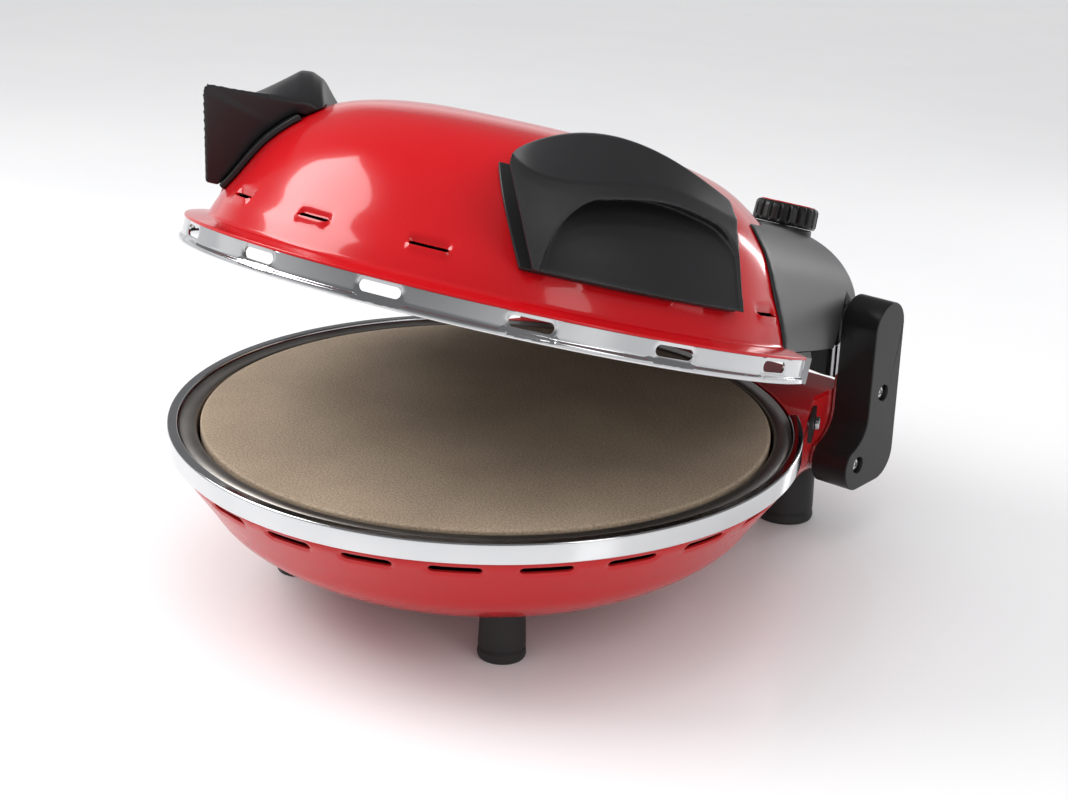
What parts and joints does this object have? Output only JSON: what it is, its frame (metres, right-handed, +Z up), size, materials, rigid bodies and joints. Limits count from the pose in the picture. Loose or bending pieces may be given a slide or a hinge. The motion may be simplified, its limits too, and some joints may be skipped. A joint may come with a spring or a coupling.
{
  "type": "countertop pizza oven",
  "caption": "Round countertop pizza oven: bowl base on rubber feet with a baking stone, domed steel-rimmed lid on a rear hinge, side handles and a timer knob at the back.",
  "frame": {"origin": "centre of the resting footprint box, on the table, with the lid standing 17.1 degrees open", "axes": "+Z up; the front, where the pizza goes in, faces -Y; the hinge and the knob are at +Y; +X is to the right as seen from the front, which is the knob's side"},
  "size_m": [0.3544, 0.4104, 0.2808],
  "materials": {
    "red_paint": "high-gloss enamel",
    "bright_steel": "polished stainless steel",
    "screw_steel": "zinc-plated",
    "element_sheath": "heat-darkened sheath",
    "dark_steel": "satin, heat-tinted",
    "black_plastic": "satin black",
    "charcoal_plastic": "fine-textured charcoal",
    "black_rubber": "matt black rubber",
    "baking_stone": "opaque fired cordierite, matt",
    "ceramic": "unglazed ceramic",
    "lead_wire": "woven glass sleeve"
  },
  "bodies": {
    "base": {"base_shell": "red_paint", "base_rim_band": "bright_steel", "band_bracket_right": "black_plastic", "band_bracket_left": "black_plastic", "band_bracket_screw_right": "screw_steel", "band_bracket_screw_left": "screw_steel", "inner_pan": "dark_steel", "pizza_stone": "baking_stone", "lower_heating_element": "element_sheath", "lower_element_clip_1": "screw_steel", "lower_element_clip_2": "screw_steel", "lower_element_clip_3": "screw_steel", "front_foot_right": "black_rubber", "front_foot_left": "black_rubber", "rear_foot_right": "black_rubber", "rear_foot_left": "black_rubber", "front_foot_screw_right": "screw_steel", "front_foot_screw_left": "screw_steel", "rear_foot_screw_right": "screw_steel", "rear_foot_screw_left": "screw_steel", "rear_deck": "red_paint", "hinge_block_right": "black_plastic", "hinge_block_left": "black_plastic", "hinge_plate_right": "bright_steel", "hinge_plate_left": "bright_steel", "hinge_pin_right": "bright_steel", "hinge_pin_left": "bright_steel", "hinge_block_upper_screw_right": "screw_steel", "hinge_block_upper_screw_left": "screw_steel", "hinge_block_lower_screw_right": "screw_steel", "hinge_block_lower_screw_left": "screw_steel", "cord_gland": "black_rubber", "terminal_block": "ceramic", "thermal_fuse": "screw_steel", "lower_lead_right": "lead_wire", "lower_lead_left": "lead_wire"},
    "lid": {"lid_shell": "red_paint", "lid_ring": "bright_steel", "upper_reflector": "dark_steel", "upper_heating_element": "element_sheath", "upper_element_clip_1": "screw_steel", "upper_element_clip_2": "screw_steel", "upper_element_clip_3": "screw_steel", "handle_right": "charcoal_plastic", "handle_left": "charcoal_plastic", "handle_plate_right": "charcoal_plastic", "handle_plate_left": "charcoal_plastic", "handle_front_screw_right": "screw_steel", "handle_front_screw_left": "screw_steel", "handle_rear_screw_right": "screw_steel", "handle_rear_screw_left": "screw_steel", "lid_hinge_bracket": "bright_steel", "housing_screw_right": "screw_steel", "housing_screw_left": "screw_steel", "rear_housing": "charcoal_plastic", "thermostat": "ceramic"},
    "knob_body": {"knob": "black_plastic", "knob_ring": "red_paint", "thermostat_shaft": "screw_steel"}
  },
  "joints": [
    {"name": "lid_hinge", "type": "hinge", "parent": "base", "child": "lid", "pos_m": [0, 0.17279, 0.1015], "axis": [-1, 0, 0], "range_deg": [-17.1, 72.9]},
    {"name": "knob_turn", "type": "hinge", "parent": "lid", "child": "knob_body", "pos_m": [0.052, 0.18275, 0.17471], "axis": [0, 0.294, 0.9558], "range_deg": [0, 270]}
  ]
}
